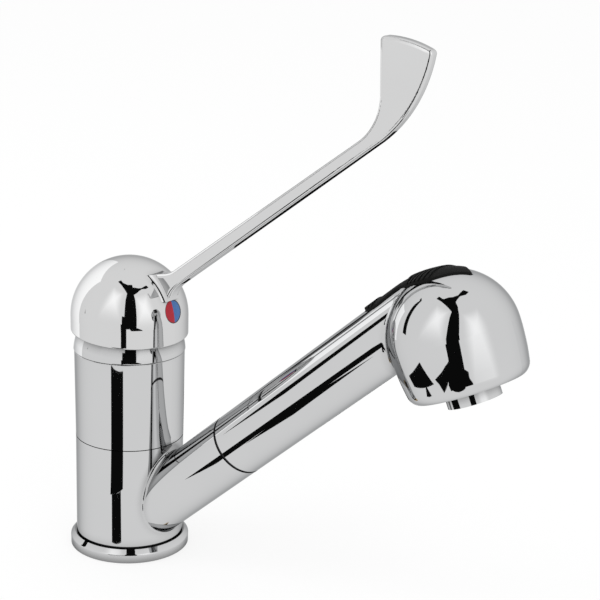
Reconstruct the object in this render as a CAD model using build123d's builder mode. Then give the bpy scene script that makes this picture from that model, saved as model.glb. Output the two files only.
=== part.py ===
from build123d import *
from math import cos, radians, sin, sqrt, tan
import os

# Pull-out mixer tap. Origin: centre of the base's underside, on the worktop.
# +X runs along the spout and the lever, +Z up. Millimetres.

# Worktop and fixing under it
worktop_thickness = 20.0
shank_radius = 16.5
shank_bore_radius = 13.75
shank_reach = 55.0
thread_clearance = 0.05
shank_chamfer = 0.6
washer_clearance = 0.5
washer_radius = 24.0
rubber_washer_thickness = 3.0
steel_washer_thickness = 2.0
backnut_across_flats = 46.0
backnut_height = 9.0

# Base
gasket_thickness = 1.5
gasket_inner_radius = 17.5
gasket_inset = 2.16
base_ring_overhang = 2.76
base_ring_height = 6.4
base_ring_lift = 0.3
base_ring_bevel_start = 4.2
base_ring_step = 0.9
base_ring_rounding = 1.26

# Body
body_radius = 25.0
body_flare = 0.44
joint_rounding = 0.4
seam_height = 54.9
upper_body_length = 41.3
running_clearance = 0.05
slip_ring_wall = 1.0
slip_ring_height = 3.2
slip_ring_inset = 0.8
lower_slip_ring_thickness = 0.9
upper_slip_ring_thickness = 0.4
bearing_inset = 4.0

# Core
core_foot_height = 6.6
core_lip_thickness = 1.2
column_inset = 0.6
column_inner_radius = 17.2
column_face = -2.0
bearing_neck_height = 6.9
core_seat_inset = 1.6
core_seat_height = 1.5
upper_body_wall = 3.0
tail_hole_radius = 5.0
tail_hole_depth = 12.0
tail_channel_radius = 3.0
side_tail_forward = 2.0
side_tail_offset = 8.0
rear_tail_offset = 8.25

# Cartridge
cartridge_radius = 17.5
cup_floor_rise = 17.1
seal_height = 0.8
seal_wall = 1.4
cartridge_base_thickness = 3.2
port_radius = 3.0
housing_wall = 2.1
housing_rise = 26.0
housing_lid = 4.0
fixed_disc_thickness = 3.5
moving_disc_thickness = 3.5
moving_disc_radius = 10.8
moving_disc_wall = 3.0
carrier_thickness = 3.6
carrier_gap = 0.4
rotor_play = 0.6
rotor_neck_radius = 12.0
rotor_stand_out = 3.5
rotor_slot_width = 7.0
rotor_slot_length = 17.0
pivot_drop = 3.0
pivot_pin_radius = 1.5
pivot_pin_length = 22.0
stem_depth = 7.8
stem_width = 6.4
stem_rise = 29.0
ball_seat_gap = 0.6
stem_ball_radius = 2.4
stem_neck_radius = 1.9
carrier_socket_clearance = 0.35
clamp_nut_bore = 12.9
clamp_nut_height = 4.3
clamp_nut_slot_width = 3.0
clamp_nut_slot_depth = 1.5

# Collar
collar_swell = 0.31
collar_gap = 0.3
collar_lip_radius = 19.0
collar_lip_thickness = 1.3

# Lever: points of the arm are given forward of the cap's centre and above it
cap_overhang = 1.25
cap_wall = 1.8
cap_rim_gap = 0.7
cap_rim_slope = 3.0
cap_rim_rounding = 0.8
cap_centre_rise = 17.6
boss_depth = 14.8
boss_width = 12.4
boss_rise = 13.0
stem_socket_clearance = 0.05
stem_end_gap = 0.5
grub_screw_radius = 2.5
grub_screw_length = 10.0
grub_screw_rise = 6.1
grub_hex_radius = 1.45
grub_hex_depth = 3.0
mark_radius = 4.9
mark_rim = 0.35
mark_recess = 5.0
mark_base_thickness = 1.2
mark_set_back = 0.15
arm_thickness = 7.6
blade_thickness = 4.4
arm_rounding = 1.7
arm_blend_radius = 3.0
arm_root_rise = 21.6
arm_bend = (25.8, 24.4)
arm_bend_radius = 14.0
blade_bend = (132.8, 104.8)
blade_bend_radius = 24.0
blade_heel = (131.5, 140.4)
blade_crown = (143.8, 139.9)
blade_toe = (155.4, 136.6)
blade_corner_rounding = 2.0
blade_throat = (132.2, 97.3)
taper_start = 100.0
taper_end = 162.0
web_start = (31.5, 20.2)
web_foot = (25.5, 11.4)

# Spout
spout_angle = 41.04
branch_drop = 0.335
branch_root_rounding = 1.9
spout_radius = 14.4
spout_bore_radius = 12.6
socket_reach = 85.5
liner_flange_thickness = 1.4
liner_flange_inset = 0.6
liner_length = 30.0
liner_bore_radius = 11.45

# Handset
shell_wall = 2.2
spigot_radius = 11.35
spigot_bore_radius = 9.0
spigot_length = 34.6
handle_floor_thickness = 2.2
handle_length = 116.1
hood_radius = 55.7
hood_angle = 22.0
head_radius = 27.0
head_advance = 10.74
head_drop = 14.68
face_tilt = 24.0
face_depth = 22.0
skirt_foot_height = 4.0
skirt_foot_radius = 25.4
face_rim_radius = 22.4
neck_rounding = 4.5
face_lip_height = 5.0
face_opening_radius = 20.0
face_clearance = 0.1

# Hose end, in the handset's spigot
nipple_thread_radius = 10.478
nipple_thread_length = 14.0
nipple_gap = 0.3
nipple_flange_thickness = 2.0
nipple_flange_radius = 10.9
nipple_bore_radius = 5.5
nipple_way_radius = 4.6
nipple_neck_length = 22.0
clip_width = 1.2
clip_setback = 3.0
clip_play = 0.3
clip_grip = 0.6
clip_opening = 4.0
seal_setback = 9.0
seal_section_radius = 0.9
seal_gap = 0.05
check_valve_length = 10.0
check_valve_setback = 3.0
check_valve_wall = 1.0
check_valve_hub_radius = 1.8
check_valve_rib = 0.8
filter_thickness = 1.8
filter_radius = 9.2
filter_inner_radius = 5.5
mesh_radius = 7.0
mesh_thickness = 0.6
mesh_hole_radius = 0.55
mesh_pitch = 1.6
mesh_rows = 7

# Water way and diverter in the head
pipe_radius = 6.5
pipe_wall = 1.5
pipe_gap = 4.0
pipe_flange_length = 4.0
pipe_entry = 6.0
valve_radius = 10.0
valve_bore_radius = 6.0
valve_bottom = 8.2
valve_top = 42.0
valve_floor = 2.0
valve_lid = 2.5
valve_outlet_radius = 3.6
valve_socket_setback = 10.74
valve_socket_length = 11.0
valve_socket_wall = 1.45
valve_port_radius = 3.5
valve_port_drop = 1.5
spray_port_radius = 1.6
spray_port_height = 13.5
spray_port_count = 4
spray_port_turn = 45.0
piston_radius = 5.9
piston_thickness = 4.0
piston_bottom = 20.0
piston_seal_radius = 0.75
rod_radius = 3.0
rod_clearance = 0.08
rod_top = 44.0
spring_wire_radius = 0.5
spring_radius = 4.6
spring_turns = 4
inner_plate_bottom = 5.2
inner_plate_radius = 19.5
inner_plate_hole_radius = 1.2
inner_plate_ring_radius = 15.6
inner_plate_hole_count = 12

# Pad on the head
pad_proud = 0.7
pad_thickness = 2.3
rocker_thickness = 1.4
pad_clearance = 0.3
pad_base_height = 25.0
pad_tail = -36.8
pad_tail_corner = (-33.4, 5.9)
pad_tail_shoulder = (-24.0, 7.8)
pad_waist = (-15.6, 6.5)
pad_shoulder = (-7.0, 9.4)
pad_widest = (1.2, 11.7)
pad_nose = 16.5
pad_tail_fullness = 1.0
pad_nose_fullness = 0.8
rib_height = 0.55
rib_width = 1.3
rib_pitch = 2.45
crown_rib_start = -9.2
crown_rib_count = 6
tail_rib_start = -34.8
tail_rib_count = 3

# Spray face and aerator
spray_face_bottom = 0.2
spray_face_thickness = 3.0
spray_face_skirt_wall = 1.8
spray_hole_radius = 0.7
spray_hole_count = 24
spray_ring_radius = 15.6
nozzle_radius = 11.3
nozzle_bore_radius = 9.5
nozzle_stand_out = 5.4
nozzle_flange_radius = 13.0
nozzle_lip_radius = 8.7
nozzle_lip_thickness = 0.6
aerator_thickness = 5.0
aerator_pitch = 2.3
aerator_cell_rows = 7
aerator_cell_radius = 0.95
aerator_cell_reach = 7.6
aerator_washer_thickness = 2.0
aerator_washer_radius = 7.0


# Radii, planes and axes that several pieces share
def on_spout(reach, rise=0.0):
    """The point that lies this far along the spout and this far above its axis."""
    return spout_side.from_local_coords((reach, rise, 0))


def on_head(across, height):
    """The point that lies this far forward of the head's axis and this far above its face."""
    return head_side.from_local_coords((across, height, 0))


base_ring_radius = body_radius + base_ring_overhang
gasket_outer_radius = base_ring_radius - gasket_inset
bearing_radius = body_radius - bearing_inset
core_seat_radius = body_radius - core_seat_inset
sleeve_bore_radius = body_radius - upper_body_wall
body_top_radius = body_radius + body_flare
collar_ball_radius = body_top_radius + collar_swell
cap_radius = collar_ball_radius + cap_overhang
lower_body_bottom = base_ring_height + lower_slip_ring_thickness
lower_body_top = seam_height - upper_slip_ring_thickness
branch_root_height = (lower_body_bottom + lower_body_top) / 2 - branch_drop
spout_height = branch_root_height - body_radius * tan(radians(spout_angle))
handset_start = socket_reach + liner_flange_thickness
bend_reach = handset_start + handle_length
head_reach = bend_reach + head_advance
spout_direction = Vector(cos(radians(spout_angle)), 0, sin(radians(spout_angle)))
spout_side = Plane(origin=(0, 0, spout_height), x_dir=spout_direction, z_dir=(0, -1, 0))
spout_axis = Axis((0, 0, spout_height), spout_direction)
head_forward = Vector(cos(radians(face_tilt)), 0, sin(radians(face_tilt)))
head_up = Vector(-sin(radians(face_tilt)), 0, cos(radians(face_tilt)))
head_centre = on_spout(head_reach, -head_drop)
face_centre = head_centre - head_up * face_depth
head_side = Plane(origin=face_centre, x_dir=head_forward, z_dir=(0, -1, 0))
head_axis = Axis(face_centre, head_up)


def head_level(height):
    """The plane across the head's axis at this height above its face, with its normal upwards."""
    return Plane(origin=on_head(0, height), x_dir=head_forward, z_dir=head_up)


# Threaded shank: hollow, screwed up into the core
core_bottom = base_ring_height
core_foot_top = core_bottom + core_foot_height
shank_top = core_foot_top - core_lip_thickness

with BuildPart() as threaded_shank:
    with BuildSketch(Plane.XY.offset(-shank_reach)):
        Circle(shank_radius)
        Circle(shank_bore_radius, mode=Mode.SUBTRACT)
    extrude(amount=shank_reach + shank_top)
    chamfer(threaded_shank.edges().group_by(Axis.Z)[0].sort_by(SortBy.RADIUS)[-1], shank_chamfer)
threaded_shank.part.label = "threaded_shank"

# Washers and nut under the worktop
rubber_washer_top = -worktop_thickness
steel_washer_top = rubber_washer_top - rubber_washer_thickness
backnut_top = steel_washer_top - steel_washer_thickness

with BuildPart() as rubber_washer:
    with BuildSketch(Plane.XY.offset(rubber_washer_top)):
        Circle(washer_radius)
        Circle(shank_radius + washer_clearance, mode=Mode.SUBTRACT)
    extrude(amount=-rubber_washer_thickness)
rubber_washer.part.label = "rubber_washer"

with BuildPart() as steel_washer:
    with BuildSketch(Plane.XY.offset(steel_washer_top)):
        Circle(washer_radius)
        Circle(shank_radius + washer_clearance, mode=Mode.SUBTRACT)
    extrude(amount=-steel_washer_thickness)
steel_washer.part.label = "steel_washer"

with BuildPart() as backnut:
    with BuildSketch(Plane.XY.offset(backnut_top)):
        RegularPolygon(backnut_across_flats / 2, 6, major_radius=False)
        Circle(shank_radius + thread_clearance, mode=Mode.SUBTRACT)
    extrude(amount=-backnut_height)
backnut.part.label = "backnut"

# Gasket and base ring
with BuildPart() as gasket:
    with BuildSketch(Plane.XY):
        Circle(gasket_outer_radius)
        Circle(gasket_inner_radius, mode=Mode.SUBTRACT)
    extrude(amount=gasket_thickness)
gasket.part.label = "gasket"

with BuildPart() as base_ring:
    with BuildSketch(Plane.XZ):
        with BuildLine():
            Polyline(
                (shank_radius + washer_clearance, gasket_thickness),
                (gasket_outer_radius, gasket_thickness),
                (gasket_outer_radius, base_ring_lift),
                (base_ring_radius, base_ring_lift),
                (base_ring_radius, base_ring_bevel_start),
                (body_radius + base_ring_step, base_ring_height),
                (shank_radius + washer_clearance, base_ring_height),
                close=True,
            )
        make_face()
    revolve(axis=Axis.Z)
    bevel_edge = base_ring.edges().filter_by(
        lambda edge: abs(edge.center(CenterOf.BOUNDING_BOX).Z - base_ring_bevel_start) < 0.01
    )
    fillet(bevel_edge, base_ring_rounding)
base_ring.part.label = "base_ring"

# Core: the brass casting that carries everything
block_bottom = seam_height - bearing_neck_height
cartridge_floor = seam_height + cup_floor_rise
housing_top = cartridge_floor + housing_rise
core_top = housing_top + clamp_nut_height
cartridge_bore_radius = cartridge_radius + running_clearance

with BuildPart() as core:
    with BuildSketch(Plane.XZ):
        with BuildLine():
            Polyline(
                (shank_radius + thread_clearance, core_bottom),
                (bearing_radius, core_bottom),
                (bearing_radius, core_foot_top),
                (shank_bore_radius, core_foot_top),
                (shank_bore_radius, shank_top),
                (shank_radius + thread_clearance, shank_top),
                close=True,
            )
        make_face()
    revolve(axis=Axis.Z)
    with BuildSketch(Plane.XY.offset(core_foot_top)):
        Circle(bearing_radius - column_inset)
        Circle(column_inner_radius, mode=Mode.SUBTRACT)
        with Locations((column_face + body_radius, 0)):
            Rectangle(2 * body_radius, 2 * body_radius, mode=Mode.SUBTRACT)
    extrude(amount=block_bottom - core_foot_top)
    with BuildSketch(Plane.XZ):
        with BuildLine():
            Polyline(
                (0, block_bottom),
                (bearing_radius, block_bottom),
                (bearing_radius, seam_height),
                (core_seat_radius, seam_height),
                (core_seat_radius, seam_height + core_seat_height),
                (sleeve_bore_radius - running_clearance, seam_height + core_seat_height),
                (sleeve_bore_radius - running_clearance, core_top),
                (cartridge_bore_radius, core_top),
                (cartridge_bore_radius, cartridge_floor),
                (0, cartridge_floor),
                close=True,
            )
        make_face()
    revolve(axis=Axis.Z)
    tail_places = [
        (side_tail_forward, side_tail_offset),
        (side_tail_forward, -side_tail_offset),
        (-rear_tail_offset, 0),
    ]
    with BuildSketch(Plane.XY.offset(block_bottom)):
        with Locations(*tail_places):
            Circle(tail_hole_radius)
    extrude(amount=tail_hole_depth, mode=Mode.SUBTRACT)
    with BuildSketch(Plane.XY.offset(block_bottom)):
        with Locations(*tail_places):
            Circle(tail_channel_radius)
    extrude(amount=cartridge_floor - block_bottom, mode=Mode.SUBTRACT)
core.part.label = "core"

# Slip rings: plastic bearings at the foot and the top of the swivelling lower body
slip_ring_inner_radius = bearing_radius + running_clearance
slip_ring_outer_radius = slip_ring_inner_radius + slip_ring_wall
slip_flange_radius = body_radius - slip_ring_inset
lower_body_bore_radius = slip_ring_outer_radius + running_clearance

with BuildPart() as lower_slip_ring:
    with BuildSketch(Plane.XZ):
        with BuildLine():
            Polyline(
                (slip_ring_inner_radius, base_ring_height),
                (slip_flange_radius, base_ring_height),
                (slip_flange_radius, lower_body_bottom),
                (slip_ring_outer_radius, lower_body_bottom),
                (slip_ring_outer_radius, lower_body_bottom + slip_ring_height),
                (slip_ring_inner_radius, lower_body_bottom + slip_ring_height),
                close=True,
            )
        make_face()
    revolve(axis=Axis.Z)
lower_slip_ring.part.label = "lower_slip_ring"

with BuildPart() as upper_slip_ring:
    with BuildSketch(Plane.XZ):
        with BuildLine():
            Polyline(
                (slip_ring_inner_radius, seam_height),
                (slip_flange_radius, seam_height),
                (slip_flange_radius, lower_body_top),
                (slip_ring_outer_radius, lower_body_top),
                (slip_ring_outer_radius, lower_body_top - slip_ring_height),
                (slip_ring_inner_radius, lower_body_top - slip_ring_height),
                close=True,
            )
        make_face()
    revolve(axis=Axis.Z)
upper_slip_ring.part.label = "upper_slip_ring"

# Spout body: lower body sleeve and the branch that holds the handset, one casting
with BuildPart() as spout_body:
    with BuildSketch(Plane.XY.offset(lower_body_bottom)):
        Circle(body_radius)
    extrude(amount=lower_body_top - lower_body_bottom)
    with BuildSketch(spout_side):
        with Locations((socket_reach / 2, spout_radius / 2)):
            Rectangle(socket_reach, spout_radius)
    revolve(axis=spout_axis)
    with BuildSketch(Plane.XY.offset(lower_body_bottom)):
        Circle(body_radius + spout_radius)
    extrude(amount=-spout_radius, mode=Mode.SUBTRACT)
    branch_root = spout_body.edges().filter_by(GeomType.BSPLINE)
    fillet(branch_root, branch_root_rounding)
    with BuildSketch(Plane.XY.offset(lower_body_bottom)):
        Circle(lower_body_bore_radius)
    extrude(amount=lower_body_top, mode=Mode.SUBTRACT)
    with BuildSketch(spout_side):
        with Locations((socket_reach / 2, spout_bore_radius / 2)):
            Rectangle(socket_reach, spout_bore_radius)
    revolve(axis=spout_axis, mode=Mode.SUBTRACT)
spout_body.part.label = "spout_body"

# Socket liner: black plastic bush that guides and seats the handset
with BuildPart() as socket_liner:
    with BuildSketch(spout_side):
        with BuildLine():
            Polyline(
                (socket_reach - liner_length, liner_bore_radius),
                (handset_start, liner_bore_radius),
                (handset_start, spout_radius - liner_flange_inset),
                (socket_reach, spout_radius - liner_flange_inset),
                (socket_reach, spout_bore_radius - running_clearance),
                (socket_reach - liner_length, spout_bore_radius - running_clearance),
                close=True,
            )
        make_face()
    revolve(axis=spout_axis)
socket_liner.part.label = "socket_liner"

# Upper body: chromed sleeve that hangs over the core's seat
upper_body_top = seam_height + upper_body_length

with BuildPart() as upper_body:
    with BuildSketch(Plane.XZ):
        with BuildLine():
            Polyline(
                (core_seat_radius + running_clearance, seam_height),
                (body_radius, seam_height),
                (body_top_radius, upper_body_top),
                (sleeve_bore_radius, upper_body_top),
                (sleeve_bore_radius, seam_height + core_seat_height),
                (core_seat_radius + running_clearance, seam_height + core_seat_height),
                close=True,
            )
        make_face()
    revolve(axis=Axis.Z)
    top_rim = upper_body.edges().group_by(Axis.Z)[-1].sort_by(SortBy.LENGTH)[-1]
    fillet(top_rim, joint_rounding)
upper_body.part.label = "upper_body"

# Cartridge: seals, base, discs and housing stand in the core's cup
base_bottom = cartridge_floor + seal_height
fixed_disc_bottom = base_bottom + cartridge_base_thickness
moving_disc_bottom = fixed_disc_bottom + fixed_disc_thickness
carrier_bottom = moving_disc_bottom + moving_disc_thickness
rotor_bottom = carrier_bottom + carrier_thickness + carrier_gap
housing_inner_radius = cartridge_radius - housing_wall
ceramic_radius = housing_inner_radius - running_clearance

with BuildPart() as cartridge_seals:
    with BuildSketch(Plane.XY.offset(cartridge_floor)):
        with Locations(*tail_places):
            Circle(port_radius + seal_wall)
            Circle(port_radius, mode=Mode.SUBTRACT)
    extrude(amount=seal_height)
cartridge_seals.part.label = "cartridge_seals"

with BuildPart() as cartridge_base:
    with BuildSketch(Plane.XY.offset(base_bottom)):
        Circle(cartridge_radius)
        with Locations(*tail_places):
            Circle(port_radius, mode=Mode.SUBTRACT)
    extrude(amount=cartridge_base_thickness)
cartridge_base.part.label = "cartridge_base"

with BuildPart() as fixed_disc:
    with BuildSketch(Plane.XY.offset(fixed_disc_bottom)):
        Circle(ceramic_radius)
        with Locations(*tail_places):
            Circle(port_radius, mode=Mode.SUBTRACT)
    extrude(amount=fixed_disc_thickness)
fixed_disc.part.label = "fixed_disc"

with BuildPart() as cartridge_housing:
    with BuildSketch(Plane.XY.offset(fixed_disc_bottom)):
        Circle(cartridge_radius)
        Circle(housing_inner_radius, mode=Mode.SUBTRACT)
    extrude(amount=housing_top - fixed_disc_bottom)
    with BuildSketch(Plane.XY.offset(housing_top)):
        Circle(cartridge_radius)
        Circle(rotor_neck_radius + running_clearance, mode=Mode.SUBTRACT)
    extrude(amount=-housing_lid)
cartridge_housing.part.label = "cartridge_housing"

# Moving disc and its carrier slide together under the stem's ball
carrier_socket_radius = stem_ball_radius + carrier_socket_clearance

with BuildPart() as moving_disc:
    with BuildSketch(Plane.XY.offset(moving_disc_bottom)):
        Circle(moving_disc_radius)
    extrude(amount=moving_disc_thickness)
    with BuildSketch(Plane.XY.offset(moving_disc_bottom)):
        Circle(moving_disc_radius - moving_disc_wall)
    extrude(amount=moving_disc_thickness / 2, mode=Mode.SUBTRACT)
moving_disc.part.label = "moving_disc"

with BuildPart() as disc_carrier:
    with BuildSketch(Plane.XY.offset(carrier_bottom)):
        Circle(moving_disc_radius)
    extrude(amount=carrier_thickness)
    with BuildSketch(Plane.XY.offset(carrier_bottom + carrier_thickness)):
        Circle(carrier_socket_radius)
    extrude(amount=carrier_socket_clearance - carrier_thickness, mode=Mode.SUBTRACT)
disc_carrier.part.label = "disc_carrier"

# Rotor: turns with the lever and carries the pivot pin
pivot_height = housing_top - pivot_drop
rotor_top = housing_top + rotor_stand_out

with BuildPart() as rotor:
    with BuildSketch(Plane.XY.offset(rotor_bottom)):
        Circle(ceramic_radius)
    extrude(amount=housing_top - housing_lid - rotor_play - rotor_bottom)
    with BuildSketch(Plane.XY.offset(rotor_bottom)):
        Circle(rotor_neck_radius)
    extrude(amount=rotor_top - rotor_bottom)
    with BuildSketch(Plane.XY.offset(rotor_bottom)):
        Rectangle(rotor_slot_length, rotor_slot_width)
    extrude(amount=rotor_top - rotor_bottom, mode=Mode.SUBTRACT)
    with BuildSketch(Plane.XZ.offset(-ceramic_radius)):
        with Locations((0, pivot_height)):
            Circle(pivot_pin_radius)
    extrude(amount=2 * ceramic_radius, mode=Mode.SUBTRACT)
rotor.part.label = "rotor"

with BuildPart() as pivot_pin:
    with BuildSketch(Plane.XZ):
        with Locations((0, pivot_height)):
            Circle(pivot_pin_radius)
    extrude(amount=pivot_pin_length / 2, both=True)
pivot_pin.part.label = "pivot_pin"

# Stem: a square bar above the pin and a ball below it that pushes the disc carrier
ball_height = carrier_bottom + ball_seat_gap + stem_ball_radius
stem_top = pivot_height + stem_rise

with BuildPart() as stem:
    with BuildSketch(Plane.XY.offset(pivot_height - stem_depth / 2)):
        Rectangle(stem_depth, stem_width)
    extrude(amount=stem_top - pivot_height + stem_depth / 2)
    with BuildSketch(Plane.XY.offset(ball_height)):
        Circle(stem_neck_radius)
    extrude(amount=pivot_height - ball_height)
    with Locations((0, 0, ball_height)):
        Sphere(stem_ball_radius)
    with BuildSketch(Plane.XZ.offset(-stem_width)):
        with Locations((0, pivot_height)):
            Circle(pivot_pin_radius + running_clearance)
    extrude(amount=2 * stem_width, mode=Mode.SUBTRACT)
stem.part.label = "stem"

# Clamp nut: screws into the cup and holds the cartridge down
with BuildPart() as clamp_nut:
    with BuildSketch(Plane.XY.offset(housing_top)):
        Circle(cartridge_bore_radius - thread_clearance)
        Circle(clamp_nut_bore, mode=Mode.SUBTRACT)
    extrude(amount=core_top - housing_top)
    with BuildSketch(Plane.XY.offset(core_top)):
        with PolarLocations(cartridge_radius, 4):
            Rectangle(2 * clamp_nut_bore, clamp_nut_slot_width)
    extrude(amount=-clamp_nut_slot_depth, mode=Mode.SUBTRACT)
clamp_nut.part.label = "clamp_nut"

# Collar: a ball zone about the lever's pivot, so that the cap can tilt over it
collar_top = core_top + collar_gap + collar_lip_thickness
collar_foot_radius = sqrt(collar_ball_radius**2 - (upper_body_top - pivot_height) ** 2)
collar_crown_radius = sqrt(collar_ball_radius**2 - (collar_top - pivot_height) ** 2)
collar_mid_height = (upper_body_top + collar_top) / 2
collar_mid_radius = sqrt(collar_ball_radius**2 - (collar_mid_height - pivot_height) ** 2)

with BuildPart() as collar:
    with BuildSketch(Plane.XZ):
        with BuildLine():
            ThreePointArc(
                (collar_foot_radius, upper_body_top),
                (collar_mid_radius, collar_mid_height),
                (collar_crown_radius, collar_top),
            )
            Polyline(
                (collar_crown_radius, collar_top),
                (collar_lip_radius, collar_top),
                (collar_lip_radius, collar_top - collar_lip_thickness),
                (sleeve_bore_radius, collar_top - collar_lip_thickness),
                (sleeve_bore_radius, upper_body_top),
                (collar_foot_radius, upper_body_top),
            )
        make_face()
    revolve(axis=Axis.Z)
    foot_rim = collar.edges().group_by(Axis.Z)[0].sort_by(SortBy.LENGTH)[-1]
    fillet(foot_rim, joint_rounding)
collar.part.label = "collar"

# Lever: dome cap, arm and blade in one casting
cap_inner_radius = cap_radius - cap_wall
cap_rim_height = collar_top + cap_rim_gap
cap_centre_height = pivot_height + cap_centre_rise
boss_bottom = pivot_height + boss_rise
grub_screw_height = cap_centre_height + grub_screw_rise
lever_side = Plane(origin=(0, 0, cap_centre_height), x_dir=(1, 0, 0), z_dir=(0, -1, 0))
rim_plane = Plane(
    origin=(0, 0, cap_rim_height),
    x_dir=(cos(radians(cap_rim_slope)), 0, -sin(radians(cap_rim_slope))),
    z_dir=(sin(radians(cap_rim_slope)), 0, cos(radians(cap_rim_slope))),
)

with BuildSketch(lever_side) as arm_profile:
    with BuildLine():
        back = FilletPolyline(
            (cap_radius / 2, arm_root_rise), arm_bend, blade_bend, blade_heel,
            radius=(arm_bend_radius, blade_bend_radius),
        )
        crown = ThreePointArc(back @ 1, blade_crown, blade_toe)
        under = Line(web_start, blade_throat)
        TangentArc(under @ 1, crown @ 1, tangent=under % 1)
        web = TangentArc(web_start, web_foot, tangent=(under % 0) * -1)
        Polyline(web @ 1, (cap_radius / 2, web_foot[1]), back @ 0)
    make_face()

with BuildPart() as arm:
    extrude(arm_profile.sketch, amount=arm_thickness / 2, both=True)
    with BuildSketch(Plane.XY.offset(cap_centre_height)):
        with BuildLine():
            side = Line((0, arm_thickness / 2), (taper_start, arm_thickness / 2))
            taper = TangentArc(side @ 1, (taper_end, blade_thickness / 2), tangent=side % 1)
            mirror([side, taper], about=Plane.XZ)
            Line(side @ 0, (0, -arm_thickness / 2))
            Line(taper @ 1, (taper_end, -blade_thickness / 2))
        make_face()
    extrude(amount=blade_heel[1] + cap_radius, mode=Mode.INTERSECT)
    corners = arm.edges().filter_by(Axis.Y).group_by(Axis.Z)
    fillet(corners[-1] + corners[-2], blade_corner_rounding)
    arm_edges = arm.edges().filter_by(Axis.Y, reverse=True)
    fillet(arm_edges.filter_by(lambda edge: edge.center().X > cap_radius + arm_rounding), arm_rounding)

# The hollow that leads each flat side of the arm into the dome, turned about the dome's centre
blend_across = arm_thickness / 2 + arm_blend_radius
blend_reach = sqrt((cap_radius + arm_blend_radius) ** 2 - blend_across**2)
blend_share = cap_radius / (cap_radius + arm_blend_radius)

with BuildPart() as arm_blend:
    with BuildSketch(Plane.XY.offset(cap_centre_height)):
        with BuildLine():
            end = Line((blend_reach, 0), (blend_reach, arm_thickness / 2))
            hollow = TangentArc(
                end @ 1, (blend_reach * blend_share, blend_across * blend_share), tangent=(-1, 0)
            )
            Polyline(hollow @ 1, (cap_inner_radius, 0), end @ 0)
        make_face()
        mirror(about=Plane.XZ)
    revolve(axis=Axis((0, 0, cap_centre_height), (0, 1, 0)))
    extrude(arm_profile.sketch, amount=cap_radius, both=True, mode=Mode.INTERSECT)

with BuildPart() as cap_cavity:
    with BuildSketch(Plane.XY.offset(pivot_height - cap_radius)):
        Circle(cap_inner_radius)
    extrude(amount=cap_centre_height - pivot_height + cap_radius)
    with Locations((0, 0, cap_centre_height)):
        Sphere(cap_inner_radius)
    with BuildSketch(Plane.XY.offset(boss_bottom)):
        with Locations(((cap_radius - boss_depth / 2) / 2, 0)):
            Rectangle(cap_radius + boss_depth / 2, boss_width)
    extrude(amount=2 * cap_radius, mode=Mode.SUBTRACT)

with BuildPart() as lever:
    with BuildSketch(Plane.XZ):
        with BuildLine():
            Polyline(
                (0, cap_centre_height + cap_radius),
                (0, pivot_height),
                (cap_radius, pivot_height),
                (cap_radius, cap_centre_height),
            )
            CenterArc((0, cap_centre_height), cap_radius, 0, 90)
        make_face()
    revolve(axis=Axis.Z)
    split(bisect_by=rim_plane)
    fillet(lever.faces().sort_by(Axis.Z)[0].edges(), cap_rim_rounding)
    add(arm.part)
    add(arm_blend.part)
    add(cap_cavity.part, mode=Mode.SUBTRACT)
    with BuildSketch(Plane.XY.offset(boss_bottom)):
        Rectangle(stem_depth + 2 * stem_socket_clearance, stem_width + 2 * stem_socket_clearance)
    extrude(amount=stem_top - boss_bottom + stem_end_gap, mode=Mode.SUBTRACT)
    with BuildSketch(Plane.YZ):
        with Locations((0, grub_screw_height)):
            Circle(grub_screw_radius + thread_clearance)
    extrude(amount=cap_radius, mode=Mode.SUBTRACT)
    with BuildSketch(Plane.YZ.offset(cap_radius - mark_recess)):
        with Locations((0, grub_screw_height)):
            Circle(mark_radius + mark_rim)
    extrude(amount=mark_recess, mode=Mode.SUBTRACT)
lever.part.label = "lever"

with BuildPart() as grub_screw:
    with BuildSketch(Plane.YZ.offset(stem_depth / 2)):
        with Locations((0, grub_screw_height)):
            Circle(grub_screw_radius)
    extrude(amount=grub_screw_length)
    with BuildSketch(Plane.YZ.offset(stem_depth / 2 + grub_screw_length)):
        with Locations((0, grub_screw_height)):
            RegularPolygon(grub_hex_radius, 6)
    extrude(amount=-grub_hex_depth, mode=Mode.SUBTRACT)
grub_screw.part.label = "grub_screw"

# Temperature mark: a plug with a red and a blue half let into its face
mark_floor = cap_radius - mark_recess
mark_face_radius = cap_radius - mark_set_back


def mark_piece(outer, start, side):
    """A slice of the mark: a whole disc with side 0, the half towards +Y with 1, the other with -1."""
    with BuildPart() as piece:
        with BuildSketch(Plane.YZ.offset(start)):
            with Locations((0, grub_screw_height)):
                Circle(outer)
                if side:
                    with Locations((-side * outer, 0)):
                        Rectangle(2 * outer, 2 * outer, mode=Mode.SUBTRACT)
        extrude(amount=cap_radius - start)
        with Locations((0, 0, cap_centre_height)):
            Sphere(mark_face_radius, mode=Mode.INTERSECT)
    return piece.part


mark_inlay_start = mark_floor + mark_base_thickness
plug_solid = mark_piece(mark_radius + mark_rim - running_clearance, mark_floor, 0)
inlay_solid = mark_piece(mark_radius, mark_inlay_start, 0)
red_half = mark_piece(mark_radius, mark_inlay_start, -1)
blue_half = mark_piece(mark_radius, mark_inlay_start, 1)

with BuildPart() as mark_plug:
    add(plug_solid)
    add(inlay_solid, mode=Mode.SUBTRACT)
mark_plug.part.label = "mark_plug"

with BuildPart() as mark_red:
    add(red_half)
mark_red.part.label = "mark_red"

with BuildPart() as mark_blue:
    add(blue_half)
mark_blue.part.label = "mark_blue"


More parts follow.
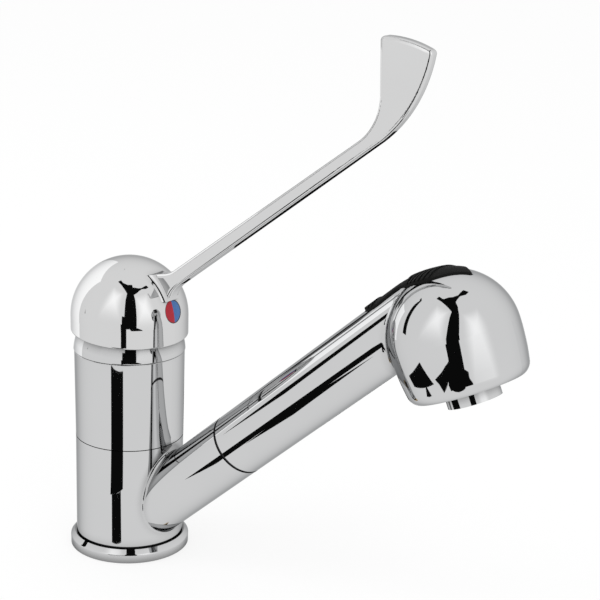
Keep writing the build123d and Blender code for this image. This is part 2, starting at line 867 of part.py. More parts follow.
# Places along the hose end, measured along the spout
spigot_start = handset_start - spigot_length
nipple_flange_start = spigot_start - nipple_gap - nipple_flange_thickness
nipple_start = nipple_flange_start - nipple_thread_length
nipple_end = nipple_flange_start + nipple_flange_thickness + nipple_neck_length
pipe_start = nipple_end + pipe_gap
valve_socket_start = head_reach - valve_socket_setback
pipe_end = valve_socket_start + pipe_entry
clip_reach = nipple_end - clip_setback
seal_reach = nipple_end - seal_setback
head_height = face_depth + head_radius


# Handset shell: handle tube that bends over the domed head, and the spigot that enters the spout
def handle_form(grow, start):
    """The handle and the hood over the head, from this reach on, grown by this much all round."""
    with BuildPart() as form:
        with BuildLine(spout_side) as path:
            straight = Line((start, 0), (bend_reach, 0))
            JernArc(straight @ 1, straight % 1, hood_radius - spout_radius, -hood_angle)
        with BuildSketch(Plane(origin=on_spout(start), z_dir=spout_direction)):
            Circle(spout_radius + grow)
        sweep(path=path.wires()[0])
    return form.part


def dome_form(grow, floor):
    """The domed head, grown by this much all round, cut off level at this height above its face."""
    with BuildPart() as form:
        with BuildSketch(head_side):
            with BuildLine():
                crown = CenterArc((0, face_depth), head_radius + grow, 90, -90)
                skirt = TangentArc(
                    crown @ 1, (skirt_foot_radius + grow, skirt_foot_height), tangent=crown % 1
                )
                if floor:
                    Polyline(skirt @ 1, (skirt_foot_radius + grow, floor), (0, floor), crown @ 0)
                else:
                    edge = TangentArc(skirt @ 1, (face_rim_radius, 0), tangent=skirt % 1)
                    Polyline(edge @ 1, (0, 0), crown @ 0)
            make_face()
        revolve(axis=head_axis)
    return form.part


def handset_form(grow):
    """Handle, hood and head in one, grown by this much all round."""
    handle = handle_form(grow, pipe_start)
    dome = dome_form(grow, 0)
    with BuildPart() as form:
        add(handle)
        add(dome)
    return form.part


def pad_outline(grow):
    """The pad's leaf outline seen along the head's axis, grown by this much all round."""
    sides = [
        (across, half_width + grow)
        for across, half_width in (pad_tail_corner, pad_tail_shoulder, pad_waist, pad_shoulder, pad_widest)
    ]
    with BuildSketch(head_level(pad_base_height)) as outline:
        with BuildLine():
            leaf = Spline(
                (pad_tail - grow, 0), *sides, (pad_nose + grow, 0),
                tangents=((0, 1), (1, -1)),
                tangent_scalars=(pad_tail_fullness, pad_nose_fullness),
            )
            mirror(leaf, about=Plane.XZ)
        make_face()
    return outline.sketch


handle_solid = handle_form(0, handset_start)
handle_hollow = handle_form(-shell_wall, handset_start + handle_floor_thickness)
dome_solid = dome_form(0, 0)
dome_hollow = dome_form(-shell_wall, face_lip_height)
pad_leaf = pad_outline(0)
pad_opening = pad_outline(pad_clearance)

with BuildPart() as handset_shell:
    add(handle_solid)
    add(dome_solid)
    fillet(handset_shell.edges().filter_by(GeomType.BSPLINE), neck_rounding)
    with BuildSketch(Plane(origin=on_spout(handset_start), z_dir=-spout_direction)):
        Circle(spigot_radius)
    extrude(amount=spigot_length)
    add(handle_hollow, mode=Mode.SUBTRACT)
    add(dome_hollow, mode=Mode.SUBTRACT)
    with BuildSketch(Plane(origin=on_spout(spigot_start), z_dir=spout_direction)):
        Circle(spigot_bore_radius)
    extrude(amount=spigot_length + 2 * handle_floor_thickness, mode=Mode.SUBTRACT)
    with BuildSketch(head_level(-face_clearance)):
        Circle(face_opening_radius)
    extrude(amount=face_lip_height + 2 * face_clearance, mode=Mode.SUBTRACT)
    with BuildSketch(spout_side):
        with Locations((clip_reach, spigot_bore_radius)):
            Rectangle(clip_width + 2 * clip_play, 2 * (clip_grip + clip_play))
    revolve(axis=spout_axis, mode=Mode.SUBTRACT)
    extrude(pad_opening, amount=head_height, mode=Mode.SUBTRACT)
handset_shell.part.label = "handset_shell"

# Hose end: the threaded nipple that the hose screws onto; the handset turns on its neck
nipple_neck_radius = spigot_bore_radius - running_clearance
check_valve_start = nipple_start + check_valve_setback
check_valve_end = check_valve_start + check_valve_length
seal_ring_radius = spigot_bore_radius - seal_gap - seal_section_radius
seal_groove = 2 * (seal_section_radius + seal_gap)

with BuildPart() as hose_nipple:
    with BuildSketch(spout_side):
        with BuildLine():
            Polyline(
                (nipple_start, nipple_bore_radius),
                (nipple_start, nipple_thread_radius),
                (nipple_flange_start, nipple_thread_radius),
                (nipple_flange_start, nipple_flange_radius),
                (nipple_flange_start + nipple_flange_thickness, nipple_flange_radius),
                (nipple_flange_start + nipple_flange_thickness, nipple_neck_radius),
                (nipple_end, nipple_neck_radius),
                (nipple_end, nipple_way_radius),
                (check_valve_end, nipple_way_radius),
                (check_valve_end, nipple_bore_radius),
                close=True,
            )
        make_face()
        with Locations((clip_reach, spigot_bore_radius)):
            Rectangle(clip_width + 2 * clip_play, 2 * (clip_grip + clip_play), mode=Mode.SUBTRACT)
        with Locations((seal_reach, seal_ring_radius)):
            Rectangle(seal_groove, seal_groove, mode=Mode.SUBTRACT)
    revolve(axis=spout_axis)
hose_nipple.part.label = "hose_nipple"

# Clip: open steel ring, half in the neck's groove and half in the spigot's
with BuildPart() as swivel_clip:
    with BuildSketch(spout_side):
        with Locations((clip_reach, spigot_bore_radius)):
            Rectangle(clip_width, 2 * clip_grip)
    revolve(axis=spout_axis)
    with BuildSketch(Plane(origin=on_spout(clip_reach - clip_width), z_dir=spout_direction)):
        with Locations((spigot_bore_radius, 0)):
            Rectangle(2 * clip_opening, clip_opening)
    extrude(amount=2 * clip_width, mode=Mode.SUBTRACT)
swivel_clip.part.label = "swivel_clip"

with BuildPart() as swivel_seal:
    with BuildSketch(spout_side):
        with Locations((seal_reach, seal_ring_radius)):
            Circle(seal_section_radius)
    revolve(axis=spout_axis)
swivel_seal.part.label = "swivel_seal"

# Check valve: a bought insert that stands on the shoulder in the nipple's bore
with BuildPart() as check_valve:
    with BuildSketch(Plane(origin=on_spout(check_valve_start), z_dir=spout_direction)):
        Circle(nipple_bore_radius - running_clearance)
        Circle(nipple_bore_radius - check_valve_wall, mode=Mode.SUBTRACT)
    extrude(amount=check_valve_length)
    with BuildSketch(Plane(origin=on_spout(check_valve_start), z_dir=spout_direction)):
        Circle(check_valve_hub_radius)
        Rectangle(2 * nipple_bore_radius - check_valve_wall, check_valve_rib)
        Rectangle(check_valve_rib, 2 * nipple_bore_radius - check_valve_wall)
    extrude(amount=check_valve_length / 2)
check_valve.part.label = "check_valve"

# Filter washer at the hose side: rubber ring with a steel mesh let into it
with BuildPart() as filter_washer:
    with BuildSketch(Plane(origin=on_spout(nipple_start), z_dir=-spout_direction)):
        Circle(filter_radius)
        Circle(filter_inner_radius, mode=Mode.SUBTRACT)
    extrude(amount=filter_thickness)
    with BuildSketch(Plane(origin=on_spout(nipple_start), z_dir=-spout_direction)):
        Circle(mesh_radius + running_clearance)
    extrude(amount=mesh_thickness, mode=Mode.SUBTRACT)
filter_washer.part.label = "filter_washer"

with BuildPart() as filter_mesh:
    with BuildSketch(Plane(origin=on_spout(nipple_start), z_dir=-spout_direction)):
        Circle(mesh_radius)
        with HexLocations(mesh_pitch / 2, mesh_rows, mesh_rows):
            Circle(mesh_hole_radius, mode=Mode.SUBTRACT)
    extrude(amount=mesh_thickness)
filter_mesh.part.label = "filter_mesh"

# Water pipe from the swivel to the diverter
with BuildPart() as water_pipe:
    with BuildSketch(Plane(origin=on_spout(pipe_start), z_dir=spout_direction)):
        Circle(pipe_radius)
    extrude(amount=pipe_end - pipe_start)
    with BuildSketch(Plane(origin=on_spout(pipe_start), z_dir=spout_direction)):
        Circle(nipple_neck_radius)
    extrude(amount=pipe_flange_length)
    with BuildSketch(Plane(origin=on_spout(pipe_start), z_dir=spout_direction)):
        Circle(pipe_radius - pipe_wall)
    extrude(amount=pipe_end - pipe_start, mode=Mode.SUBTRACT)
water_pipe.part.label = "water_pipe"

# Diverter body: a cylinder on the head's axis with the pipe's socket in its side
with BuildPart() as diverter_body:
    with BuildSketch(head_level(valve_bottom)):
        Circle(valve_radius)
    extrude(amount=valve_top - valve_bottom)
    with BuildSketch(Plane(origin=on_spout(valve_socket_start), z_dir=spout_direction)):
        Circle(pipe_radius + running_clearance + valve_socket_wall)
    extrude(amount=valve_socket_length)
    with BuildSketch(head_level(valve_bottom + valve_floor)):
        Circle(valve_bore_radius)
    extrude(amount=valve_top - valve_lid - valve_bottom - valve_floor, mode=Mode.SUBTRACT)
    with BuildSketch(Plane(origin=on_spout(valve_socket_start), z_dir=spout_direction)):
        Circle(pipe_radius + running_clearance)
    extrude(amount=pipe_entry, mode=Mode.SUBTRACT)
    with BuildSketch(Plane(origin=on_spout(pipe_end, -valve_port_drop), z_dir=spout_direction)):
        Circle(valve_port_radius)
    extrude(amount=valve_socket_length - pipe_entry, mode=Mode.SUBTRACT)
    with BuildSketch(head_level(valve_bottom)):
        Circle(valve_outlet_radius)
    extrude(amount=valve_floor, mode=Mode.SUBTRACT)
    with BuildSketch(head_level(valve_top)):
        Circle(rod_radius + rod_clearance)
    extrude(amount=-valve_lid, mode=Mode.SUBTRACT)
    for turn in range(spray_port_count):
        port_plane = Plane(
            origin=on_head(0, spray_port_height),
            x_dir=head_up,
            z_dir=head_forward.rotate(head_axis, spray_port_turn + turn * 360 / spray_port_count),
        )
        with BuildSketch(port_plane):
            Circle(spray_port_radius)
        extrude(amount=valve_radius, mode=Mode.SUBTRACT)
diverter_body.part.label = "diverter_body"

# Piston and rod that the pad pushes down, with their seal and spring
piston_groove = 2 * (piston_seal_radius + seal_gap)
piston_seal_ring_radius = valve_bore_radius - seal_gap - piston_seal_radius

with BuildPart() as diverter_piston:
    with BuildSketch(head_level(piston_bottom)):
        Circle(piston_radius)
    extrude(amount=piston_thickness)
    with BuildSketch(head_level(piston_bottom)):
        Circle(rod_radius)
    extrude(amount=rod_top - piston_bottom)
    with BuildSketch(head_side):
        with Locations((piston_seal_ring_radius, piston_bottom + piston_thickness / 2)):
            Rectangle(piston_groove, piston_groove)
    revolve(axis=head_axis, mode=Mode.SUBTRACT)
diverter_piston.part.label = "diverter_piston"

with BuildPart() as piston_seal:
    with BuildSketch(head_side):
        with Locations((piston_seal_ring_radius, piston_bottom + piston_thickness / 2)):
            Circle(piston_seal_radius)
    revolve(axis=head_axis)
piston_seal.part.label = "piston_seal"

spring_bottom = valve_bottom + valve_floor
spring_rise = piston_bottom - spring_bottom - 2 * spring_wire_radius

with BuildPart() as piston_spring:
    with BuildLine() as coil:
        Helix(
            pitch=spring_rise / spring_turns,
            height=spring_rise,
            radius=spring_radius,
            center=on_head(0, spring_bottom + spring_wire_radius),
            direction=head_up,
        )
    with BuildSketch(Plane(origin=coil.line @ 0, z_dir=coil.line % 0)):
        Circle(spring_wire_radius)
    sweep(path=coil.line)
piston_spring.part.label = "piston_spring"

# Rocker under the pad: a stiff plastic tongue whose boss stands on the piston's rod
pad_underside = pad_proud - pad_thickness
rocker_underside = pad_underside - rocker_thickness
pad_top_form = handset_form(pad_proud)
pad_rib_form = handset_form(pad_proud + rib_height)
pad_under_form = handset_form(pad_underside)
rocker_under_form = handset_form(rocker_underside)

with BuildPart() as pad_rocker:
    add(pad_under_form)
    add(rocker_under_form, mode=Mode.SUBTRACT)
    extrude(pad_leaf, amount=head_height, mode=Mode.INTERSECT)
    with BuildSketch(head_level(rod_top)):
        Circle(rod_radius)
    extrude(amount=head_height + rocker_underside + rocker_thickness / 2 - rod_top)
pad_rocker.part.label = "pad_rocker"

# Rubber pad with ribs across its crown and its tail
with BuildPart() as rib_bands:
    with BuildSketch(head_level(pad_base_height)):
        for start, count in ((tail_rib_start, tail_rib_count), (crown_rib_start, crown_rib_count)):
            for index in range(count):
                with Locations((start + index * rib_pitch, 0)):
                    Rectangle(rib_width, 2 * head_radius)
    extrude(amount=head_height)

with BuildPart() as rubber_pad:
    add(pad_rib_form)
    add(rib_bands.part, mode=Mode.INTERSECT)
    add(pad_top_form)
    add(pad_under_form, mode=Mode.SUBTRACT)
    extrude(pad_leaf, amount=head_height, mode=Mode.INTERSECT)
rubber_pad.part.label = "rubber_pad"

# Plate between the diverter and the spray face
inner_plate_top = valve_bottom

with BuildPart() as inner_plate:
    with BuildSketch(head_level(inner_plate_bottom)):
        Circle(inner_plate_radius)
        Circle(valve_outlet_radius, mode=Mode.SUBTRACT)
        with PolarLocations(inner_plate_ring_radius, inner_plate_hole_count):
            Circle(inner_plate_hole_radius, mode=Mode.SUBTRACT)
    extrude(amount=inner_plate_top - inner_plate_bottom)
inner_plate.part.label = "inner_plate"

# Spray face: screwed into the head's mouth, with a ring of jets round the aerator
spray_face_radius = face_opening_radius - thread_clearance
spray_face_top = spray_face_bottom + spray_face_thickness

with BuildPart() as spray_face:
    with BuildSketch(head_level(spray_face_bottom)):
        Circle(spray_face_radius)
    extrude(amount=inner_plate_bottom - spray_face_bottom)
    with BuildSketch(head_level(spray_face_top)):
        Circle(spray_face_radius - spray_face_skirt_wall)
    extrude(amount=inner_plate_bottom - spray_face_top, mode=Mode.SUBTRACT)
    with BuildSketch(head_level(spray_face_bottom)):
        Circle(nozzle_radius + running_clearance)
        with PolarLocations(spray_ring_radius, spray_hole_count):
            Circle(spray_hole_radius)
    extrude(amount=spray_face_thickness, mode=Mode.SUBTRACT)
spray_face.part.label = "spray_face"

# Nozzle ring: hangs by its flange through the spray face and carries the aerator
with BuildPart() as nozzle_ring:
    with BuildSketch(head_side):
        with BuildLine():
            Polyline(
                (nozzle_lip_radius, -nozzle_stand_out),
                (nozzle_radius, -nozzle_stand_out),
                (nozzle_radius, spray_face_top),
                (nozzle_flange_radius, spray_face_top),
                (nozzle_flange_radius, inner_plate_bottom),
                (nozzle_bore_radius, inner_plate_bottom),
                (nozzle_bore_radius, nozzle_lip_thickness - nozzle_stand_out),
                (nozzle_lip_radius, nozzle_lip_thickness - nozzle_stand_out),
                close=True,
            )
        make_face()
    revolve(axis=head_axis)
nozzle_ring.part.label = "nozzle_ring"

# Aerator: honeycomb insert on the nozzle ring's lip, and the washer above it
aerator_bottom = nozzle_lip_thickness - nozzle_stand_out
aerator_radius = nozzle_bore_radius - running_clearance

with BuildPart() as aerator_insert:
    with BuildSketch(head_level(aerator_bottom)):
        Circle(aerator_radius)
        with HexLocations(aerator_pitch / 2, aerator_cell_rows, aerator_cell_rows) as cells:
            near = [cell for cell in cells.local_locations if cell.position.length < aerator_cell_reach]
        with Locations(*near):
            RegularPolygon(aerator_cell_radius, 6, mode=Mode.SUBTRACT)
    extrude(amount=aerator_thickness)
aerator_insert.part.label = "aerator_insert"

with BuildPart() as aerator_washer:
    with BuildSketch(head_level(aerator_bottom + aerator_thickness)):
        Circle(aerator_radius)
        Circle(aerator_washer_radius, mode=Mode.SUBTRACT)
    extrude(amount=aerator_washer_thickness)
aerator_washer.part.label = "aerator_washer"

os.makedirs("parts", exist_ok=True)
for name in (
    threaded_shank, rubber_washer, steel_washer, backnut, gasket, base_ring, core,
    lower_slip_ring, upper_slip_ring, spout_body, socket_liner, upper_body, cartridge_seals,
    cartridge_base, fixed_disc, cartridge_housing, moving_disc, disc_carrier, rotor, pivot_pin,
    stem, clamp_nut, collar, lever, grub_screw, mark_plug, mark_red, mark_blue,
    handset_shell, hose_nipple, swivel_clip, swivel_seal, check_valve, filter_washer, filter_mesh,
    water_pipe, diverter_body, diverter_piston, piston_seal, piston_spring, pad_rocker, rubber_pad,
    inner_plate, spray_face, nozzle_ring, aerator_insert, aerator_washer,
):
    export_step(name.part, f"parts/{name.part.label}.step")
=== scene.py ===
import math

import bmesh
import bpy
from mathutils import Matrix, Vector


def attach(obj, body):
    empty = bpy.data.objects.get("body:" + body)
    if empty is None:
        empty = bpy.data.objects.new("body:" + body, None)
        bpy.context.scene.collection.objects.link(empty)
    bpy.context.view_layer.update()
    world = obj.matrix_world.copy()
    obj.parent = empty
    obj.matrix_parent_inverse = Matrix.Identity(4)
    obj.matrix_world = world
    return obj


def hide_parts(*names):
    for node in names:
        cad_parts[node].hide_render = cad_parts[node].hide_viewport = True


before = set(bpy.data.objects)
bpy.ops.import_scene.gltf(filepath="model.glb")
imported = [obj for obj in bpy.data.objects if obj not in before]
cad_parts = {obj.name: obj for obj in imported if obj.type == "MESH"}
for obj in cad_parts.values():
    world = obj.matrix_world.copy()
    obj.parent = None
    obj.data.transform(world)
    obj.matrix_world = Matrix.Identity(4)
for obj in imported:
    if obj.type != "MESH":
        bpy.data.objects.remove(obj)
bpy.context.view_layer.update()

# The camera stands to the right of the tap and a little above it, at the photograph's viewing angle.
# Its place is in metres, its turn in degrees and its lens in millimetres.
camera_place = (0.48109, -0.54754, 0.33814)
camera_turn = (73.342, -1.622, 35.655)
camera_lens = 99.34
sensor_width = 36

camera_data = bpy.data.cameras.new("camera")
camera_data.lens = camera_lens
camera_data.sensor_width = sensor_width
camera = bpy.data.objects.new("camera", camera_data)
camera.location = camera_place
camera.rotation_euler = [math.radians(angle) for angle in camera_turn]
bpy.context.scene.collection.objects.link(camera)
bpy.context.scene.camera = camera
bpy.context.scene.view_settings.view_transform = "Standard"


# Threaded shank, washers and backnut: the shank is drawn brass with a rolled thread, the backnut is
# pressed brass, the upper washer is rubber and the lower one stamped steel.
def new_group(name, inputs, outputs):
    """A shader node group with these named inputs (with defaults) and outputs."""
    group = bpy.data.node_groups.new(name, "ShaderNodeTree")
    for label, kind, value in inputs:
        socket = group.interface.new_socket(label, in_out="INPUT", socket_type=kind)
        socket.default_value = value
    for label, kind in outputs:
        group.interface.new_socket(label, in_out="OUTPUT", socket_type=kind)
    return group, group.nodes.new("NodeGroupInput"), group.nodes.new("NodeGroupOutput")


def make_grain():
    """The fine unevenness of a worked surface: it mixes two colours, varies the gloss and gives a height."""
    group, given, made = new_group(
        "grain",
        [
            ("Colour", "NodeSocketColor", (0.5, 0.5, 0.5, 1)),
            ("Second Colour", "NodeSocketColor", (0.4, 0.4, 0.4, 1)),
            ("Scale", "NodeSocketFloat", 100.0),
            ("Stretch", "NodeSocketVector", (1, 1, 1)),
            ("Roughness", "NodeSocketFloat", 0.3),
            ("Roughness Spread", "NodeSocketFloat", 0.1),
        ],
        [("Color", "NodeSocketColor"), ("Roughness", "NodeSocketFloat"), ("Height", "NodeSocketFloat")],
    )
    nodes, links = group.nodes, group.links
    place = nodes.new("ShaderNodeTexCoord")
    stretch = nodes.new("ShaderNodeVectorMath")
    stretch.operation = "MULTIPLY"
    links.new(place.outputs["Object"], stretch.inputs[0])
    links.new(given.outputs["Stretch"], stretch.inputs[1])
    noise = nodes.new("ShaderNodeTexNoise")
    noise.inputs["Detail"].default_value = 4
    links.new(stretch.outputs[0], noise.inputs["Vector"])
    links.new(given.outputs["Scale"], noise.inputs["Scale"])
    colour = nodes.new("ShaderNodeMix")
    colour.data_type = "RGBA"
    links.new(noise.outputs["Fac"], colour.inputs["Factor"])
    links.new(given.outputs["Colour"], colour.inputs["A"])
    links.new(given.outputs["Second Colour"], colour.inputs["B"])
    spread = nodes.new("ShaderNodeMath")
    spread.operation = "MULTIPLY_ADD"
    links.new(noise.outputs["Fac"], spread.inputs[0])
    links.new(given.outputs["Roughness Spread"], spread.inputs[1])
    links.new(given.outputs["Roughness"], spread.inputs[2])
    links.new(colour.outputs["Result"], made.inputs["Color"])
    links.new(spread.outputs[0], made.inputs["Roughness"])
    links.new(noise.outputs["Fac"], made.inputs["Height"])
    return group


grain = make_grain()


def finish_material(name, colour, second, scale, rough, spread, depth, stretch=(1, 1, 1), **sockets):
    """A material with the grain on its colour, roughness and bump, and plain values on its other sockets."""
    material = bpy.data.materials.new(name)
    material.use_nodes = True
    nodes, links = material.node_tree.nodes, material.node_tree.links
    shader = nodes["Principled BSDF"]
    for label, value in sockets.items():
        shader.inputs[label.replace("_", " ")].default_value = value
    pattern = nodes.new("ShaderNodeGroup")
    pattern.node_tree = grain
    pattern.inputs["Colour"].default_value = (*colour, 1)
    pattern.inputs["Second Colour"].default_value = (*second, 1)
    pattern.inputs["Scale"].default_value = scale
    pattern.inputs["Stretch"].default_value = stretch
    pattern.inputs["Roughness"].default_value = rough
    pattern.inputs["Roughness Spread"].default_value = spread
    bump = nodes.new("ShaderNodeBump")
    bump.inputs["Strength"].default_value = 1
    bump.inputs["Distance"].default_value = depth
    links.new(pattern.outputs["Color"], shader.inputs["Base Color"])
    links.new(pattern.outputs["Roughness"], shader.inputs["Roughness"])
    links.new(pattern.outputs["Height"], bump.inputs["Height"])
    links.new(bump.outputs["Normal"], shader.inputs["Normal"])
    return material


def dress(material, *names):
    """Gives these CAD nodes the material."""
    for name in names:
        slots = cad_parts[name].data.materials
        slots.clear()
        slots.append(material)


brass = finish_material(
    "drawn_brass", (0.62, 0.42, 0.16), (0.52, 0.34, 0.12), scale=260, rough=0.22, spread=0.16, depth=0.00001,
    stretch=(1, 1, 6), Metallic=1,
)
black_rubber = finish_material(
    "black_rubber", (0.006, 0.006, 0.006), (0.012, 0.012, 0.012), scale=900, rough=0.62, spread=0.2,
    depth=0.00003, Specular_IOR_Level=0.05,
)
steel = finish_material(
    "stamped_steel", (0.5, 0.5, 0.5), (0.4, 0.4, 0.41), scale=500, rough=0.24, spread=0.2, depth=0.00001,
    stretch=(1, 1, 4), Metallic=1,
)
shank_radius, shank_bore, shank_foot, shank_head = 0.0165, 0.01375, -0.055, 0.0118
thread_pitch, thread_depth, thread_top, thread_chamfer = 0.0015, 0.0009, -0.0015, 0.0012
rows_per_pitch, thread_segments = 6, 72


def threaded_tube(name):
    """A grid closed round the axis and along its own outline: out along the thread, back along the bore."""
    count = int((thread_top - shank_foot) / thread_pitch * rows_per_pitch)
    heights = [shank_foot + (thread_top - shank_foot) * row / count for row in range(count + 1)]
    outline = [(None, height) for height in heights]
    outline += [(shank_radius, thread_top + thread_depth), (shank_radius, shank_head)]
    outline += [(shank_bore, shank_head), (shank_bore, shank_foot), (None, shank_foot)]
    mesh = bmesh.new()
    bmesh.ops.create_grid(mesh, x_segments=thread_segments, y_segments=len(outline) - 1, size=0.5)
    for vertex in mesh.verts:
        turn = vertex.co.x + 0.5
        row = round((vertex.co.y + 0.5) * (len(outline) - 1))
        radius, height = outline[row]
        if radius is None:
            phase = (height / thread_pitch - turn) % 1
            groove = thread_depth * (1 - abs(2 * phase - 1)) if shank_foot < height < thread_top else 0
            end = max(0, thread_chamfer - (height - shank_foot))
            radius = shank_radius - max(groove, end)
        angle = 2 * math.pi * turn
        vertex.co = (radius * math.cos(angle), radius * math.sin(angle), height)
    bmesh.ops.remove_doubles(mesh, verts=mesh.verts, dist=1e-6)
    bmesh.ops.recalc_face_normals(mesh, faces=mesh.faces)
    data = bpy.data.meshes.new(name)
    mesh.to_mesh(data)
    mesh.free()
    return bpy.data.objects.new(name, data)


shank = threaded_tube("rolled_thread_shank")
shank.data.materials.append(brass)
bpy.context.scene.collection.objects.link(shank)
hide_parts("threaded_shank")
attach(shank, "base")
dress(brass, "backnut")
dress(black_rubber, "rubber_washer")
dress(steel, "steel_washer")

# Gasket and base ring: the ring is turned brass, polished and chromed, and stands on a rubber gasket
# that lies in the recess under it.
chrome = finish_material(
    "polished_chrome", (0.6, 0.603, 0.606), (0.575, 0.578, 0.583), scale=34, rough=0.014, spread=0.02,
    depth=0.0000012, Metallic=1, Specular_Tint=(0.45, 0.455, 0.46, 1),
)
# Near-black that the painted shade in hollows and joints mixes into a colour.
painted_shade_black = (0.01, 0.01, 0.01, 1)
shade_samples = 12


def make_crease_shade():
    """Paints shade into a colour: it goes towards near-black in hollows and narrow joints, as the ambient
    occlusion finds them.
    """
    group, given, made = new_group(
        "crease_shade",
        [
            ("Colour", "NodeSocketColor", (0.5, 0.5, 0.5, 1)),
            ("Reach", "NodeSocketFloat", 0.004),
            ("Depth", "NodeSocketFloat", 1.0),
        ],
        [("Color", "NodeSocketColor")],
    )
    nodes, links = group.nodes, group.links
    hollow = nodes.new("ShaderNodeAmbientOcclusion")
    hollow.samples = shade_samples
    links.new(given.outputs["Reach"], hollow.inputs["Distance"])
    share = nodes.new("ShaderNodeMath")
    share.operation = "POWER"
    links.new(hollow.outputs["AO"], share.inputs[0])
    links.new(given.outputs["Depth"], share.inputs[1])
    colour = nodes.new("ShaderNodeMix")
    colour.data_type = "RGBA"
    colour.inputs["A"].default_value = painted_shade_black
    links.new(share.outputs[0], colour.inputs["Factor"])
    links.new(given.outputs["Colour"], colour.inputs["B"])
    links.new(colour.outputs["Result"], made.inputs["Color"])
    return group


crease_shade = make_crease_shade()


def shade_creases(material, reach, depth):
    """Puts the crease shade between the material's grain and its base colour."""
    nodes, links = material.node_tree.nodes, material.node_tree.links
    base = nodes["Principled BSDF"].inputs["Base Color"]
    shade = nodes.new("ShaderNodeGroup")
    shade.node_tree = crease_shade
    shade.inputs["Reach"].default_value = reach
    shade.inputs["Depth"].default_value = depth
    links.new(base.links[0].from_socket, shade.inputs["Colour"])
    links.new(shade.outputs["Color"], base)


# Painted shade: the chrome's colour goes dark in its hollows and narrow joints.
shade_creases(chrome, reach=0.005, depth=1.6)
dress(black_rubber, "gasket")
dress(chrome, "base_ring")

# Core and slip rings: one brass casting, machined where it bears, inside two plastic rings on which
# the lower body turns.
cast_brass = finish_material(
    "cast_brass", (0.55, 0.4, 0.18), (0.42, 0.29, 0.12), scale=420, rough=0.4, spread=0.3, depth=0.00006,
    Metallic=1,
)
black_plastic = finish_material(
    "black_plastic", (0.01, 0.01, 0.011), (0.018, 0.018, 0.019), scale=700, rough=0.32, spread=0.16,
    depth=0.00001,
)
dress(cast_brass, "core")
dress(black_plastic, "lower_slip_ring", "upper_slip_ring")

# Spout body, socket liner and upper body: two brass castings, ground, polished and chromed, and the
# black bush in the branch's mouth in which the handset sits.
dress(chrome, "spout_body", "upper_body")
dress(black_plastic, "socket_liner")

# Cartridge: moulded housing, base and carrier, two ground ceramic discs, rubber seals, a steel pin and
# stem, held down by a brass nut.
white_plastic = finish_material(
    "white_plastic", (0.72, 0.72, 0.69), (0.66, 0.66, 0.63), scale=500, rough=0.36, spread=0.12, depth=0.00001
)
ceramic = finish_material(
    "ceramic", (0.86, 0.85, 0.8), (0.78, 0.77, 0.73), scale=1400, rough=0.12, spread=0.1, depth=0.000004
)
dress(black_rubber, "cartridge_seals")
dress(white_plastic, "cartridge_base", "cartridge_housing", "disc_carrier", "rotor")
dress(ceramic, "fixed_disc", "moving_disc")
dress(steel, "pivot_pin", "stem")
dress(brass, "clamp_nut")

# Collar and lever: the collar is a chromed ring that closes the body, the lever is one zinc casting
# with its dome cap, polished and chromed, and clamped to the stem by the grub screw.
lever_chrome = finish_material(
    "lever_chrome", (0.65, 0.651, 0.652), (0.62, 0.621, 0.623), scale=30, rough=0.018, spread=0.022,
    depth=0.0000015, Metallic=1, Specular_Tint=(0.5, 0.503, 0.507, 1),
)
# Painted shade: the lever's chrome colour goes dark in its hollows and narrow joints.
shade_creases(lever_chrome, reach=0.004, depth=1.2)
dress(chrome, "collar")
dress(lever_chrome, "lever")
dress(steel, "grub_screw")

# Temperature mark: a moulded black plug, pressed into the cap's front, that hides the grub screw. A red
# and a blue half of glossy plastic are let into its face, for hot and cold.
red_enamel = finish_material(
    "red_enamel", (0.43, 0.02, 0.035), (0.37, 0.016, 0.03), scale=900, rough=0.3, spread=0.1, depth=0.000004,
    Specular_IOR_Level=0.2,
)
blue_enamel = finish_material(
    "blue_enamel", (0.06, 0.17, 0.42), (0.05, 0.145, 0.36), scale=900, rough=0.3, spread=0.1, depth=0.000004,
    Specular_IOR_Level=0.2,
)
dress(black_plastic, "mark_plug")
dress(red_enamel, "mark_red")
dress(blue_enamel, "mark_blue")

# Handset shell: the round handle and the domed head are one thin-walled casting, polished and chromed.
# Its narrower end slides into the branch's mouth.
dress(chrome, "handset_shell")

# Hose end: a turned brass nipple that swivels in the handset's end, held by a sprung steel clip and
# sealed by a rubber ring. It holds a plastic check valve and a washer with a steel filter mesh.
dress(brass, "hose_nipple")
dress(steel, "swivel_clip", "filter_mesh")
dress(black_rubber, "swivel_seal", "filter_washer")
dress(white_plastic, "check_valve")

# Water way and diverter: a moulded grey pipe runs to a moulded valve in the head. The pad pushes the
# white piston with its rubber seal down in the valve, and a steel spring brings it back.
grey_plastic = finish_material(
    "grey_plastic", (0.28, 0.29, 0.3), (0.24, 0.25, 0.26), scale=600, rough=0.36, spread=0.14, depth=0.00001
)
dress(grey_plastic, "water_pipe", "diverter_body")
dress(white_plastic, "diverter_piston")
dress(black_rubber, "piston_seal")
dress(steel, "piston_spring")

# Pad on the head: soft black rubber with moulded ribs, bonded to a stiff plastic rocker that lies in
# the opening of the shell.
dress(black_rubber, "rubber_pad")
dress(black_plastic, "pad_rocker")

# Spray face: a plastic face with a ring of jets, held against the plate by the chromed nozzle ring,
# which carries the aerator.
dress(grey_plastic, "inner_plate", "aerator_insert")
dress(black_plastic, "spray_face")
dress(chrome, "nozzle_ring")
dress(black_rubber, "aerator_washer")

# Studio: a white floor under a white sky, and two soft lamps. Cards that only the polished metal sees
# stand round the tap, as in a photographer's tent: black where the tent is open for the camera, in a
# tall gap, on the ground before it and along the top, and brighter white panels at both sides.
sky_seen = 1
sky_light = 0.92


def light_paths(nodes, links):
    """1 on rays that see the background itself: from the camera, in a mirror or through glass."""
    path = nodes.new("ShaderNodeLightPath")
    seen = path.outputs["Is Camera Ray"]
    for label in ("Is Glossy Ray", "Is Transmission Ray"):
        both = nodes.new("ShaderNodeMath")
        both.operation = "ADD"
        links.new(seen, both.inputs[0])
        links.new(path.outputs[label], both.inputs[1])
        seen = both.outputs[0]
    return seen


